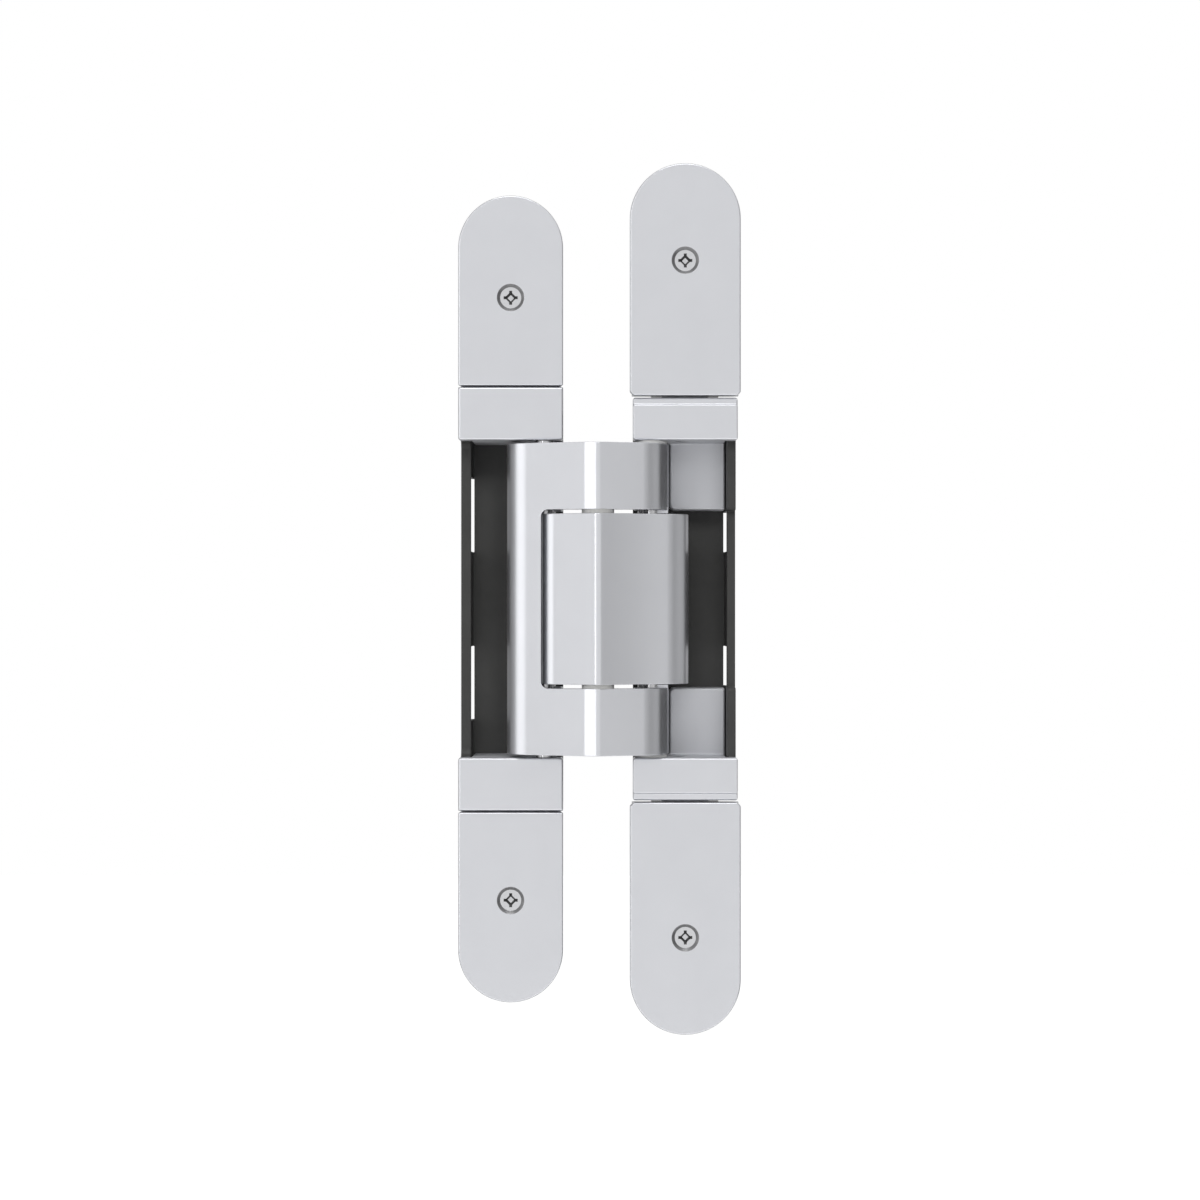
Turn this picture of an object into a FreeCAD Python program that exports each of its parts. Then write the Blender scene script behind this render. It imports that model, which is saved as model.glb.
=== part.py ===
import FreeCAD, Part
import math
import os
import re

import Sketcher

# Concealed door hinge, shown open at 180 degrees.
# Origin: middle of the frame leaf's front face. X runs along the wall, Y into it, Z up.
# The door leaf stands at -X. Both leaves sit in pockets milled into door edge and frame.

doc = FreeCAD.newDocument("ConcealedHinge")
sizes = doc.addObject("Spreadsheet::Sheet", "Sizes")

# Driving sizes in millimetres
DRIVING = {
    # leaves
    "leaf_spacing": 52.0,
    "leaf_width": 31.2,
    "opening_height": 94.6,
    # door leaf along Z
    "door_block": 15.75,
    "door_joint": 0.5,
    "door_cover": 56.5,
    "door_screw_inset": 30.35,
    "door_wood_start": 8.45,
    "door_wood_inset": 12.05,
    # frame leaf along Z
    "frame_block": 10.6,
    "frame_neck": 2.1,
    "frame_joint": 0.6,
    "frame_cover": 69.1,
    "frame_cover_overhang": 0.9,
    "frame_cover_corner": 1.0,
    "frame_screw_inset": 28.9,
    "frame_wood_room": 1.0,
    "frame_wood_inset": 17.7,
    "neck_depth": 1.0,
    # plates and housings along Y
    "cover_thick": 3.0,
    "flange_thick": 3.2,
    "flange_margin": 0.6,
    "housing_depth": 33.5,
    "housing_inset": 0.3,
    "door_wall": 3.0,
    "frame_wall": 2.5,
    "near_wall": 1.7,
    "housing_step": 0.5,
    "housing_back": 2.6,
    "housing_end": 2.2,
    "body_play": 0.2,
    "far_wall_depth": 7.2,
    "near_wall_depth": 25.0,
    "middle_wall_depth": 11.4,
    "door_wall_depth": 13.6,
    "wall_foot_round": 2.5,
    "wall_lip_round": 1.2,
    "window_low": 14.4,
    "window_high": 36.9,
    "window_front": 15.0,
    "window_inlet": 0.3,
    # linkage seen from above
    "pivot_offset": 10.1,
    "pivot_depth": 18.0,
    "guide_offset": 10.1,
    "guide_depth": 5.0,
    "centre_lift": 6.0,
    "closed_gap": 4.0,
    # arms seen from above
    "ridge_lift": 11.6,
    "ridge_round": 2.5,
    "outer_ridge_lift": 11.0,
    "brow_reach": 3.9,
    "brow_lift": 9.89,
    "brow_round": 6.0,
    "hollow_reach": 10.3,
    "hollow_lift": 6.22,
    "hollow_round": 180.0,
    "corner_reach": 30.0,
    "corner_depth": 1.55,
    "corner_round": 10.5,
    "tail_reach": 25.8,
    "tail_depth": 13.0,
    "short_reach": 16.4,
    "short_lift": 4.41,
    "short_round": 6.0,
    "shoulder_reach": 17.2,
    "shoulder_lift": 4.03,
    "shoulder_round": 11.0,
    "belly_lift": 0.8,
    "belly_reach": 10.7,
    "knuckle_radius": 5.2,
    "swing_room": 3.9,
    # arms along Z
    "end_gap": 1.0,
    "inner_arm_height": 50.6,
    "arm_gap": 1.2,
    "spine_edge": 16.9,
    "spine_room": 5.8,
    "window_round": 2.0,
    "foot_inset": 0.2,
    "foot_width": 3.2,
    "foot_depth": 3.6,
    "foot_height": 0.9,
    # pins, bushes and guides
    "pin_radius": 3.0,
    "pin_seat": 8.0,
    "guide_radius": 2.5,
    "bush_wall": 0.9,
    "running_play": 0.05,
    "washer_radius": 4.8,
    "washer_play": 0.05,
    "shoe_radius": 3.3,
    "shoe_play": 0.1,
    "shoe_height": 4.6,
    "track_height": 5.4,
    "tip_play": 0.3,
    # frame side carrier and its adjustment
    "carrier_front": 18.4,
    "carrier_gap": 0.5,
    "carrier_reach": 4.4,
    "carrier_round": 1.6,
    "tongue_width": 14.0,
    "tongue_thick": 4.2,
    "tongue_tip": 3.9,
    "tongue_play": 0.1,
    "rail_wall": 3.0,
    "clamp_edge": 1.4,
    "lug_room": 3.5,
    "lug_thick": 3.5,
    "height_screw_radius": 1.5,
    "height_screw_head": 2.0,
    "height_screw_head_height": 2.0,
    "height_screw_room": 0.3,
    "height_screw_slot": 0.8,
    # screws
    "cover_screw_radius": 1.5,
    "cover_screw_head": 3.15,
    "cover_screw_length": 8.0,
    "cover_sink": 4.05,
    "recess_reach": 2.3,
    "recess_width": 1.0,
    "recess_depth": 1.2,
    "recess_core": 1.15,
    "wood_hole_radius": 2.3,
    "wood_sink": 4.6,
    "clamp_radius": 2.5,
    "clamp_head": 4.4,
    "clamp_head_height": 1.6,
    "clamp_travel": 3.0,
    "clamp_length": 7.0,
    "socket_radius": 1.4,
    "socket_depth": 1.4,
    "back_screw_radius": 1.4,
    "back_screw_head": 2.6,
    "back_screw_head_height": 1.6,
    "back_screw_length": 6.0,
    "back_screw_offset": 8.0,
    "back_screw_rise": 4.2,
    "spacer_wall": 0.85,
}

# Places worked out from the driving sizes
DERIVED = {
    "door_x": "-leaf_spacing",
    "centre_x": "-leaf_spacing / 2",
    "half_width": "leaf_width / 2",
    "opening_top": "opening_height / 2",
    "outer_top": "opening_top - end_gap",
    "inner_top": "inner_arm_height / 2",
    "bar_low": "inner_top + arm_gap",
    "door_block_end": "opening_top + door_block",
    "door_cover_start": "door_block_end + door_joint",
    "door_cover_end": "door_cover_start + door_cover",
    "door_screw_height": "door_cover_end - door_screw_inset",
    "door_wood_first": "door_cover_start + door_wood_start",
    "door_wood_second": "door_cover_end - door_wood_inset",
    "frame_block_end": "opening_top + frame_block",
    "frame_neck_end": "frame_block_end + frame_neck",
    "frame_cover_start": "frame_neck_end + frame_joint",
    "frame_cover_end": "frame_cover_start + frame_cover",
    "frame_screw_height": "frame_cover_end - frame_screw_inset",
    "frame_wood_first": "lug_end + height_screw_head_height + frame_wood_room + wood_sink",
    "frame_wood_second": "frame_cover_end - frame_wood_inset",
    "flange_back": "cover_thick + flange_thick",
    "housing_half": "half_width - housing_inset",
    "door_far": "housing_half - door_wall",
    "frame_far": "housing_half - frame_wall",
    "cavity_near": "housing_half - near_wall",
    "cavity_back": "housing_depth - housing_back",
    "body_near": "cavity_near - body_play",
    "door_housing_top": "door_block_end - housing_step",
    "door_body_top": "door_housing_top - housing_end - body_play",
    "frame_housing_top": "frame_block_end - housing_step",
    "frame_body_top": "frame_housing_top - housing_end - body_play",
    "pivot_reach": "leaf_spacing / 2 - pivot_offset",
    "guide_reach": "leaf_spacing / 2 - guide_offset",
    "bush_radius": "pin_radius + running_play + bush_wall",
    "tongue_front": "flange_back + tongue_play",
    "tongue_back": "tongue_front + tongue_thick",
    "clamp_height": "frame_cover_start + clamp_edge + clamp_travel + clamp_head + tongue_play",
    "tongue_end": "clamp_height + clamp_radius + tongue_tip",
    "height_screw_grip": "tongue_tip - height_screw_room",
    "tongue_middle": "tongue_front + tongue_thick / 2",
    "rail_back": "tongue_back + tongue_play",
    "carrier_low": "bar_low + carrier_gap",
    "back_screw_height": "opening_top + back_screw_rise",
    "lug_start": "tongue_end + lug_room",
    "lug_end": "lug_start + lug_thick",
    "flange_half": "half_width - flange_margin",
    "frame_cover_half": "half_width + frame_cover_overhang",
    "plate_half": "frame_cover_half - flange_margin",
}

WORD = re.compile(r"[a-z_]+")


def fill_sheet():
    for row, (alias, number) in enumerate(DRIVING.items(), start=1):
        sizes.set(f"A{row}", alias.replace("_", " "))
        sizes.set(f"B{row}", str(number))
        sizes.setAlias(f"B{row}", alias)
    doc.recompute()


def formula(text):
    """Turn words of the two lists into cells of the sheet."""
    def cell(found):
        word = found.group(0)
        if word in DRIVING:
            return "Sizes." + word
        if word in DERIVED:
            return "(" + formula(DERIVED[word]) + ")"
        return word
    return WORD.sub(cell, str(text))


def bind(thing, **formulas):
    for name, text in formulas.items():
        thing.setExpression(name, formula(text))


def place(thing, x, y, z):
    for name, text in (("x", x), ("y", y), ("z", z)):
        thing.setExpression("Placement.Base." + name, formula(text))


def number(text):
    """Value of a formula, read back from a spare property."""
    probe.setExpression("Length", formula(text))
    probe.recompute()
    return probe.Length.Value


def block(x, y, z):
    """Box between two formulas on each axis."""
    thing = doc.addObject("Part::Box", "Block")
    bind(thing, Length=f"({x[1]}) - ({x[0]})", Width=f"({y[1]}) - ({y[0]})",
         Height=f"({z[1]}) - ({z[0]})")
    place(thing, x[0], y[0], z[0])
    return thing


def rod(radius, x, y, z):
    """Upright cylinder."""
    thing = doc.addObject("Part::Cylinder", "Rod")
    bind(thing, Radius=radius, Height=f"({z[1]}) - ({z[0]})")
    place(thing, x, y, z[0])
    return thing


def peg(radius, x, y, z):
    """Cylinder that runs into the wall, along +Y."""
    thing = doc.addObject("Part::Cylinder", "Peg")
    bind(thing, Radius=radius, Height=f"({y[1]}) - ({y[0]})")
    thing.Placement.Rotation = FreeCAD.Rotation(FreeCAD.Vector(1, 0, 0), -90)
    place(thing, x, y[0], z)
    return thing


def sink(front_radius, back_radius, x, y, z):
    """Countersink that narrows by one millimetre for each millimetre of depth."""
    thing = doc.addObject("Part::Cone", "Sink")
    bind(thing, Radius1=front_radius, Radius2=back_radius,
         Height=f"({front_radius}) - ({back_radius})")
    thing.Placement.Rotation = FreeCAD.Rotation(FreeCAD.Vector(1, 0, 0), -90)
    place(thing, x, y, z)
    return thing


def fuse(*shapes):
    if len(shapes) == 1:
        return shapes[0]
    thing = doc.addObject("Part::MultiFuse", "Fuse")
    thing.Shapes = list(shapes)
    thing.Refine = True
    return thing


def cut(base, *tools):
    thing = doc.addObject("Part::Cut", "Cut")
    thing.Base = base
    thing.Tool = fuse(*tools)
    return thing


def plan(points, z):
    """Sketch seen from above, each corner held by two formulas, drawn out along Z."""
    sketch = doc.addObject("Sketcher::SketchObject", "Plan")
    start = [FreeCAD.Vector(number(x), number(y), 0) for x, y in points]
    count = len(points)
    for i in range(count):
        sketch.addGeometry(Part.LineSegment(start[i], start[(i + 1) % count]), False)
    for i, (x, y) in enumerate(points):
        sketch.addConstraint(Sketcher.Constraint("Coincident", i, 2, (i + 1) % count, 1))
        across = sketch.addConstraint(Sketcher.Constraint("DistanceX", i, 1, start[i].x))
        sketch.setExpression(f"Constraints[{across}]", formula(x))
        along = sketch.addConstraint(Sketcher.Constraint("DistanceY", i, 1, start[i].y))
        sketch.setExpression(f"Constraints[{along}]", formula(y))
    place(sketch, "0", "0", z[0])
    thing = doc.addObject("Part::Extrusion", "Drawn")
    thing.Base = sketch
    thing.DirMode = "Normal"
    thing.Solid = True
    bind(thing, LengthFwd=f"({z[1]}) - ({z[0]})")
    return thing


def soften(kind, base, size, chosen):
    """Part::Fillet or Part::Chamfer on the edges that the function chosen picks."""
    doc.recompute()
    edges = [i for i, edge in enumerate(base.Shape.Edges, start=1) if chosen(edge)]
    thing = doc.addObject("Part::" + kind, kind)
    thing.Base = base
    amount = number(size)
    thing.Edges = [(i, amount, amount) for i in edges]
    return thing


def upright_at(x, y):
    """Picks the straight edges along Z at one place of the plan."""
    spot_x, spot_y = number(x), number(y)

    def chosen(edge):
        box = edge.BoundBox
        straight = box.XLength < 0.01 and box.YLength < 0.01
        return straight and math.hypot(box.XMin - spot_x, box.YMin - spot_y) < 0.02
    return chosen


def inward_at(x, z):
    """Picks the straight edges along Y at one place of the front view."""
    spot_x, spot_z = number(x), number(z)

    def chosen(edge):
        box = edge.BoundBox
        straight = box.XLength < 0.01 and box.ZLength < 0.01
        return straight and math.hypot(box.XMin - spot_x, box.ZMin - spot_z) < 0.02
    return chosen


def along_at(y, z):
    """Picks the straight edges along X at one place of the side view."""
    spot_y, spot_z = number(y), number(z)

    def chosen(edge):
        box = edge.BoundBox
        straight = box.YLength < 0.01 and box.ZLength < 0.01
        return straight and math.hypot(box.YMin - spot_y, box.ZMin - spot_z) < 0.02
    return chosen


def any_of(*choices):
    return lambda edge: any(choice(edge) for choice in choices)


def group(*shapes):
    thing = doc.addObject("Part::Compound", "Group")
    thing.Links = list(shapes)
    return thing


def name_node(thing, label):
    thing.Label = label
    nodes[label] = thing


fill_sheet()
probe = doc.addObject("Part::Box", "Probe")
nodes = {}

ENDS = (("top", 1), ("bottom", -1))


def span(sign, low, high):
    """Stretch along Z in the upper half, or the same stretch mirrored below."""
    if sign > 0:
        return (low, high)
    return (f"-({high})", f"-({low})")


def across(middle, half):
    return (f"{middle} - ({half})", f"{middle} + ({half})")


def between(middle, far, far_half, near_half):
    """Stretch along X with another reach on the side away from the other leaf, far is +1 or -1."""
    if far > 0:
        return (f"{middle} - ({near_half})", f"{middle} + ({far_half})")
    return (f"{middle} - ({far_half})", f"{middle} + ({near_half})")


# Angles of the linkage: each leaf turns about its pivot pin, the arms about the centre pin
def swing_angles():
    """Turn of an arm in its own leaf and of the arms against each other, open to closed."""
    reach = number("pivot_reach")
    depth = number("pivot_depth")
    lift = number("centre_lift")
    radius = math.hypot(reach, depth + lift)
    closed_depth = depth + number("closed_gap / 2")
    open_angle = math.degrees(math.atan2(depth + lift, reach))
    closed_angle = 180 - math.degrees(math.asin(closed_depth / radius))
    leaf_turn = closed_angle - open_angle
    return leaf_turn, 180 - 2 * leaf_turn


def guide_path(steps=12):
    """Guide pin's way in a leaf. Points hold the offset from the leaf's middle and the depth."""
    leaf_turn, arm_turn = (math.radians(angle) for angle in swing_angles())
    pivot = complex(number("pivot_offset"), number("pivot_depth"))
    centre = complex(number("leaf_spacing / 2"), -number("centre_lift"))
    guide = complex(number("guide_offset"), number("guide_depth"))
    points = []
    for step in range(steps + 1):
        part = step / steps
        arm = complex(math.cos(leaf_turn * part), -math.sin(leaf_turn * part))
        other_turn = (leaf_turn + arm_turn) * part
        other = complex(math.cos(other_turn), -math.sin(other_turn))
        spot = pivot + arm * (centre - pivot) + other * (guide - centre)
        points.append((spot.real, spot.imag))
    return points


def track(middle, side, z_low, z_high):
    """Curved slot for the guide shoes, cut along the guide pin's way."""
    half = number("shoe_radius + shoe_play")
    way = [FreeCAD.Vector(middle + side * x, y, z_low) for x, y in guide_path()]
    curve = Part.BSplineCurve()
    curve.interpolate(way)
    edges = []
    ends = []
    for turn in (1, -1):
        edge_points = []
        for point in way:
            tangent = curve.tangent(curve.parameter(point))[0]
            normal = FreeCAD.Vector(-tangent.y, tangent.x, 0) * turn * half
            edge_points.append(point + normal)
        edge_curve = Part.BSplineCurve()
        edge_curve.interpolate(edge_points)
        edges.append(edge_curve.toShape())
        ends.append((edge_points[0], edge_points[-1]))
    caps = []
    for index, outward in ((0, -1), (-1, 1)):
        tangent = curve.tangent(curve.parameter(way[index]))[0]
        tip = way[index] + tangent * outward * half
        caps.append(Part.Arc(ends[0][index], tip, ends[1][index]).toShape())
    outline = Part.Wire(Part.__sortEdges__([edges[0], caps[1], edges[1], caps[0]]))
    slot = doc.addObject("Part::Feature", "Track")
    slot.Shape = Part.Face(outline).extrude(FreeCAD.Vector(0, 0, z_high - z_low))
    return slot


def track_cutter(middle, side, sign):
    low = number("opening_top") - 1
    high = number("opening_top + track_height")
    if sign > 0:
        return track(middle, side, low, high)
    return track(middle, side, -high, -low)


# Dark housings: troughs with a low far wall, a cut away near wall and windows
def housing(label, middle, far, far_half, top, carried):
    """far is +1 where the wall away from the other leaf lies at +X, carried for the frame leaf."""
    shell = block(across(middle, "housing_half"), ("flange_back", "housing_depth"),
                  (f"-({top})", top))
    hollow_top = f"{top} - housing_end"
    tools = [block(between(middle, far, far_half, "cavity_near"),
                   ("flange_back - 1", "cavity_back"), (f"-({hollow_top})", hollow_top))]
    far_x = between(middle, far, "half_width", f"-({far_half}) + 1")
    near_x = between(middle, far, "-cavity_near + 1", "half_width")
    opening = ("-opening_top", "opening_top")
    far_depth = "far_wall_depth" if carried else "door_wall_depth"
    recess = block(far_x, ("flange_back - 1", far_depth), opening)
    if not carried:
        recess = soften("Fillet", recess, "wall_foot_round", any_of(
            along_at(far_depth, "opening_top"), along_at(far_depth, "-opening_top")))
    tools.append(recess)
    tools.append(block(near_x, ("flange_back - 1", "near_wall_depth"), opening))
    if carried:
        tools.append(block(far_x, ("flange_back - 1", "middle_wall_depth"),
                           ("-bar_low", "bar_low")))
    window_x = between(middle, far, "half_width", f"window_inlet - ({far_half})")
    for _, sign in ENDS:
        tools.append(block(window_x, ("window_front", "housing_depth + 1"),
                           span(sign, "window_low", "bar_low" if carried else "window_high")))
        if carried:
            tools.append(block(across("0", "tongue_width / 2 + tongue_play"),
                               ("flange_back - 1", "rail_back"),
                               span(sign, f"{hollow_top} - 1", f"{top} + 1")))
        height = f"{sign} * back_screw_height"
        for side in (-1, 1):
            x = f"{middle} + {side} * back_screw_offset"
            tools.append(peg("back_screw_radius", x, ("cavity_back - 1", "housing_depth"), height))
            tools.append(peg("back_screw_head", x,
                             ("housing_depth - back_screw_head_height", "housing_depth + 1"), height))
    shell = cut(shell, *tools)
    if carried:
        shell = soften("Fillet", shell, "wall_lip_round", any_of(
            along_at(far_depth, "bar_low"), along_at(far_depth, "-bar_low")))
    name_node(shell, label)


def back_screws(label, middle):
    """Screws that hold the housing on the two end castings."""
    screws = []
    for _, sign in ENDS:
        height = f"{sign} * back_screw_height"
        for side in (-1, 1):
            x = f"{middle} + {side} * back_screw_offset"
            head_front = "housing_depth - back_screw_head_height"
            head = peg("back_screw_head", x, (head_front, "housing_depth"), height)
            shank = peg("back_screw_radius", x, ("housing_depth - back_screw_length", head_front),
                        height)
            socket = peg("socket_radius", x, ("housing_depth - socket_depth / 2", "housing_depth + 1"),
                         height)
            screws.append(cut(fuse(head, shank), socket))
    name_node(group(*screws), label)


def back_holes(middle, sign):
    height = f"{sign} * back_screw_height"
    return [peg("back_screw_radius", f"{middle} + {side} * back_screw_offset",
                ("housing_depth - back_screw_length", "cavity_back + 1"), height)
            for side in (-1, 1)]


# Pieces shared by covers and plates
def strip(middle, half, y, sign, start, end):
    """Plate along Z with a half round outer end."""
    bend = f"{end} - ({half})"
    bar = block(across(middle, half), y, span(sign, start, bend))
    return fuse(bar, peg(half, middle, y, f"{sign} * ({bend})"))


def wood_holes(middle, sign, first, second, front):
    tools = []
    for height in (first, second):
        z = f"{sign} * {height}"
        tools.append(peg("wood_hole_radius", middle, (front, "flange_back + 1"), z))
        tools.append(sink("wood_sink", "wood_hole_radius", middle, front, z))
    return tools


def cover(label, middle, half, sign, start, end, screw_height, corner):
    plate = strip(middle, half, ("0", "cover_thick"), sign, start, end)
    if corner:
        z = f"{sign} * ({start})"
        plate = soften("Chamfer", plate, corner, any_of(
            inward_at(f"{middle} - {half}", z), inward_at(f"{middle} + {half}", z)))
    z = f"{sign} * {screw_height}"
    hole = "cover_screw_radius + body_play"
    name_node(cut(plate, sink("cover_sink", hole, middle, "0", z),
                  peg(hole, middle, ("0", "cover_thick + 1"), z)), label)


def cross_recess(x, front, z):
    reach = "recess_reach"
    half = "recess_width / 2"
    depth = (f"{front} - 1", f"{front} + recess_depth")
    return fuse(block(across(x, reach), depth, across(z, half)),
                block(across(x, half), depth, across(z, reach)),
                peg("recess_core", x, depth, z))


def cover_screws(label, middle, screw_height):
    """Countersunk machine screws, sunk a little below the cover's face."""
    screws = []
    front = "cover_sink - cover_screw_head"
    neck = "cover_sink - cover_screw_radius"
    for _, sign in ENDS:
        z = f"{sign} * {screw_height}"
        head = sink("cover_screw_head", "cover_screw_radius", middle, front, z)
        shank = peg("cover_screw_radius", middle, (neck, f"{front} + cover_screw_length"), z)
        screws.append(cut(fuse(head, shank), cross_recess(middle, front, z)))
    name_node(group(*screws), label)


# Door leaf: housing, end castings with their flanges, covers and screws
def door_end(label, sign):
    face = block(across("door_x", "half_width"), ("0", "flange_back"),
                 span(sign, "opening_top", "door_block_end"))
    body = block(between("door_x", -1, "door_far - body_play", "body_near"),
                 ("flange_back", "cavity_back - body_play"), span(sign, "opening_top", "door_body_top"))
    flange = strip("door_x", "flange_half", ("cover_thick", "flange_back"), sign,
                   "door_block_end - 1", "door_cover_end - flange_margin")
    name_node(cut(fuse(face, body, flange),
                  rod("pin_radius", "door_x + pivot_offset", "pivot_depth",
                      span(sign, "opening_top - 1", "opening_top + pin_seat")),
                  track_cutter(number("door_x"), 1, sign),
                  peg("cover_screw_radius", "door_x", ("cover_thick - 1", "flange_back + 1"),
                      f"{sign} * door_screw_height"),
                  *wood_holes("door_x", sign, "door_wood_first", "door_wood_second", "cover_thick"),
                  *back_holes("door_x", sign)), label)


def pivot_pin(label, middle, side):
    reach = "opening_top + pin_seat - tip_play"
    name_node(rod("pin_radius", f"{middle} + {side} * pivot_offset", "pivot_depth",
                  (f"-({reach})", reach)), label)


# Frame leaf: carrier castings that can be shifted on their fixed plates
def frame_end(label, sign):
    face = block(across("0", "half_width"), ("0", "flange_back"),
                 span(sign, "opening_top", "frame_block_end"))
    neck = block(across("0", "half_width"), ("neck_depth", "flange_back"),
                 span(sign, "frame_block_end - 1", "frame_neck_end"))
    body = block(between("0", 1, "frame_far - body_play", "body_near"),
                 ("flange_back", "cavity_back - body_play"), span(sign, "opening_top", "frame_body_top"))
    carrier = block(("-carrier_reach", "frame_far - body_play"),
                    ("carrier_front", "cavity_back - body_play"),
                    span(sign, "carrier_low", "opening_top + 1"))
    carrier = soften("Fillet", carrier, "carrier_round",
                     inward_at("-carrier_reach", f"{sign} * carrier_low"))
    tongue = block(across("0", "tongue_width / 2"), ("tongue_front", "tongue_back"),
                   span(sign, "opening_top + 1", "tongue_end"))
    root = block(across("0", "tongue_width / 2"), ("flange_back - 1", "tongue_back"),
                 span(sign, "opening_top + 1", "frame_neck_end"))
    clamp_z = f"{sign} * (clamp_height)"
    name_node(cut(fuse(face, neck, body, carrier, tongue, root),
                  rod("pin_radius", "-pivot_offset", "pivot_depth",
                      span(sign, "opening_top - 1", "opening_top + pin_seat")),
                  track_cutter(0, -1, sign),
                  peg("clamp_radius", "0", ("tongue_front - 1", "tongue_back + 1"), clamp_z),
                  rod("height_screw_radius", "0", "tongue_middle",
                      span(sign, "tongue_end - height_screw_grip", "tongue_end + 1")),
                  *back_holes("0", sign)), label)


def frame_plate(label, sign):
    plate = strip("0", "plate_half", ("cover_thick", "flange_back"), sign, "frame_cover_start",
                  "frame_cover_end - flange_margin")
    inner = "tongue_width / 2 + tongue_play"
    rails = [block((f"{inner}", f"{inner} + rail_wall"), ("flange_back", "rail_back"),
                   span(sign, "frame_cover_start", "lug_end")),
             block((f"-({inner} + rail_wall)", f"-({inner})"), ("flange_back", "rail_back"),
                   span(sign, "frame_cover_start", "lug_end"))]
    lug = block(across("0", f"{inner}"), ("flange_back", "rail_back"), span(sign, "lug_start", "lug_end"))
    tools = wood_holes("0", sign, "frame_wood_first", "frame_wood_second", "cover_thick")
    tools.append(peg("cover_screw_radius", "0", ("cover_thick - 1", "flange_back + 1"),
                     f"{sign} * frame_screw_height"))
    tools.append(rod("height_screw_radius + running_play", "0", "tongue_middle",
                     span(sign, "lug_start - 1", "lug_end + 1")))
    seat = "cover_thick + clamp_head_height + tongue_play"
    for radius, y in (("clamp_head + tongue_play", ("cover_thick - 1", seat)),
                      ("clamp_radius + tongue_play", (seat, "flange_back + 1"))):
        low, high = "clamp_height - clamp_travel", "clamp_height + clamp_travel"
        tools.append(block(across("0", radius), y, span(sign, low, high)))
        tools.append(peg(radius, "0", y, f"{sign} * ({low})"))
        tools.append(peg(radius, "0", y, f"{sign} * ({high})"))
    name_node(cut(fuse(plate, lug, *rails), *tools), label)


def clamp_screws(label):
    """Socket screws that clamp the carrier's tongue to the fixed plate."""
    screws = []
    front = "cover_thick + tongue_play"
    for _, sign in ENDS:
        z = f"{sign} * (clamp_height)"
        head = peg("clamp_head", "0", (front, f"{front} + clamp_head_height"), z)
        shank = peg("clamp_radius", "0", (f"{front} + clamp_head_height", f"{front} + clamp_length"), z)
        socket = peg("socket_radius", "0", (f"{front} - 1", f"{front} + socket_depth"), z)
        screws.append(cut(fuse(head, shank), socket))
    name_node(group(*screws), label)


def height_screws(label):
    """Screws along Z that move the carrier up and down in its rails."""
    screws = []
    for _, sign in ENDS:
        shank = rod("height_screw_radius", "0", "tongue_middle",
                    span(sign, "tongue_end - height_screw_grip", "lug_end"))
        head_end = "lug_end + height_screw_head_height"
        head = rod("height_screw_head", "0", "tongue_middle", span(sign, "lug_end", head_end))
        slot = block(across("0", "height_screw_head + 1"), across("tongue_middle", "height_screw_slot / 2"),
                     span(sign, f"{head_end} - height_screw_slot", f"{head_end} + 1"))
        screws.append(cut(fuse(shank, head), slot))
    name_node(group(*screws), label)


def pivot_spacers(label):
    """Tubes that keep the inner arm at mid height on its pivot pin."""
    tubes = []
    for _, sign in ENDS:
        z = span(sign, "inner_top + washer_play", "opening_top - washer_play")
        tube = rod("pin_radius + spacer_wall", "-pivot_offset", "pivot_depth", z)
        tubes.append(cut(tube, rod("pin_radius + running_play", "-pivot_offset", "pivot_depth", z)))
    name_node(group(*tubes), label)


# Arms: one section for both, seen from above, u is the distance from the centre pin
def arm_solid(side, top, ridge, tip, tip_end, face):
    """side is -1 for the arm that pivots in the door leaf, +1 for the other.

    ridge names its height, tip the sizes of the front corner over the guide pin, and tip_end is
    where that corner's back slope ends.
    face is brow for a bulge beside the ridge or hollow for a face that dips a little.
    """
    diagonal = "0.7 * swing_room"
    corners = [
        ("0", f"-{ridge}"),
        (f"{face}_reach", f"-{face}_lift"),
        ("corner_reach", "corner_depth"),
        ("tail_reach", "tail_depth"),
        ("pivot_reach + 0.8 * knuckle_radius", "pivot_depth + 0.6 * knuckle_radius"),
        ("pivot_reach", "pivot_depth"),
        ("pivot_reach", "pivot_depth - knuckle_radius"),
        ("guide_reach + swing_room", "pivot_depth - 1.7 * knuckle_radius"),
        ("guide_reach + swing_room", "guide_depth"),
        (f"guide_reach + {diagonal}", f"guide_depth - {diagonal}"),
        ("guide_reach", "guide_depth - swing_room"),
        (f"guide_reach - {diagonal}", "guide_depth - 1.15 * swing_room"),
        ("belly_reach", "-belly_lift"),
        ("-belly_reach", "-belly_lift"),
        ("-guide_reach + 0.97 * knuckle_radius", "guide_depth"),
        ("-guide_reach", "guide_depth"),
        tip_end,
        (f"-{tip}_reach", f"-{tip}_lift"),
    ]
    plan_points = [(f"centre_x + {side} * ({u})", v) for u, v in corners]
    z = (f"-({top})", top)
    blank = plan(plan_points, z)
    knuckles = [rod("knuckle_radius", f"centre_x + {side} * pivot_reach", "pivot_depth", z),
                rod("knuckle_radius", f"centre_x - {side} * guide_reach", "guide_depth", z)]
    arm = soften("Fillet", fuse(blank, *knuckles), "ridge_round", upright_at("centre_x", f"-{ridge}"))
    arm = soften("Fillet", arm, f"{face}_round",
                 upright_at(f"centre_x + {side} * {face}_reach", f"-{face}_lift"))
    arm = soften("Fillet", arm, "corner_round",
                 upright_at(f"centre_x + {side} * corner_reach", "corner_depth"))
    return soften("Fillet", arm, f"{tip}_round",
                  upright_at(f"centre_x - {side} * {tip}_reach", f"-{tip}_lift"))


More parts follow.
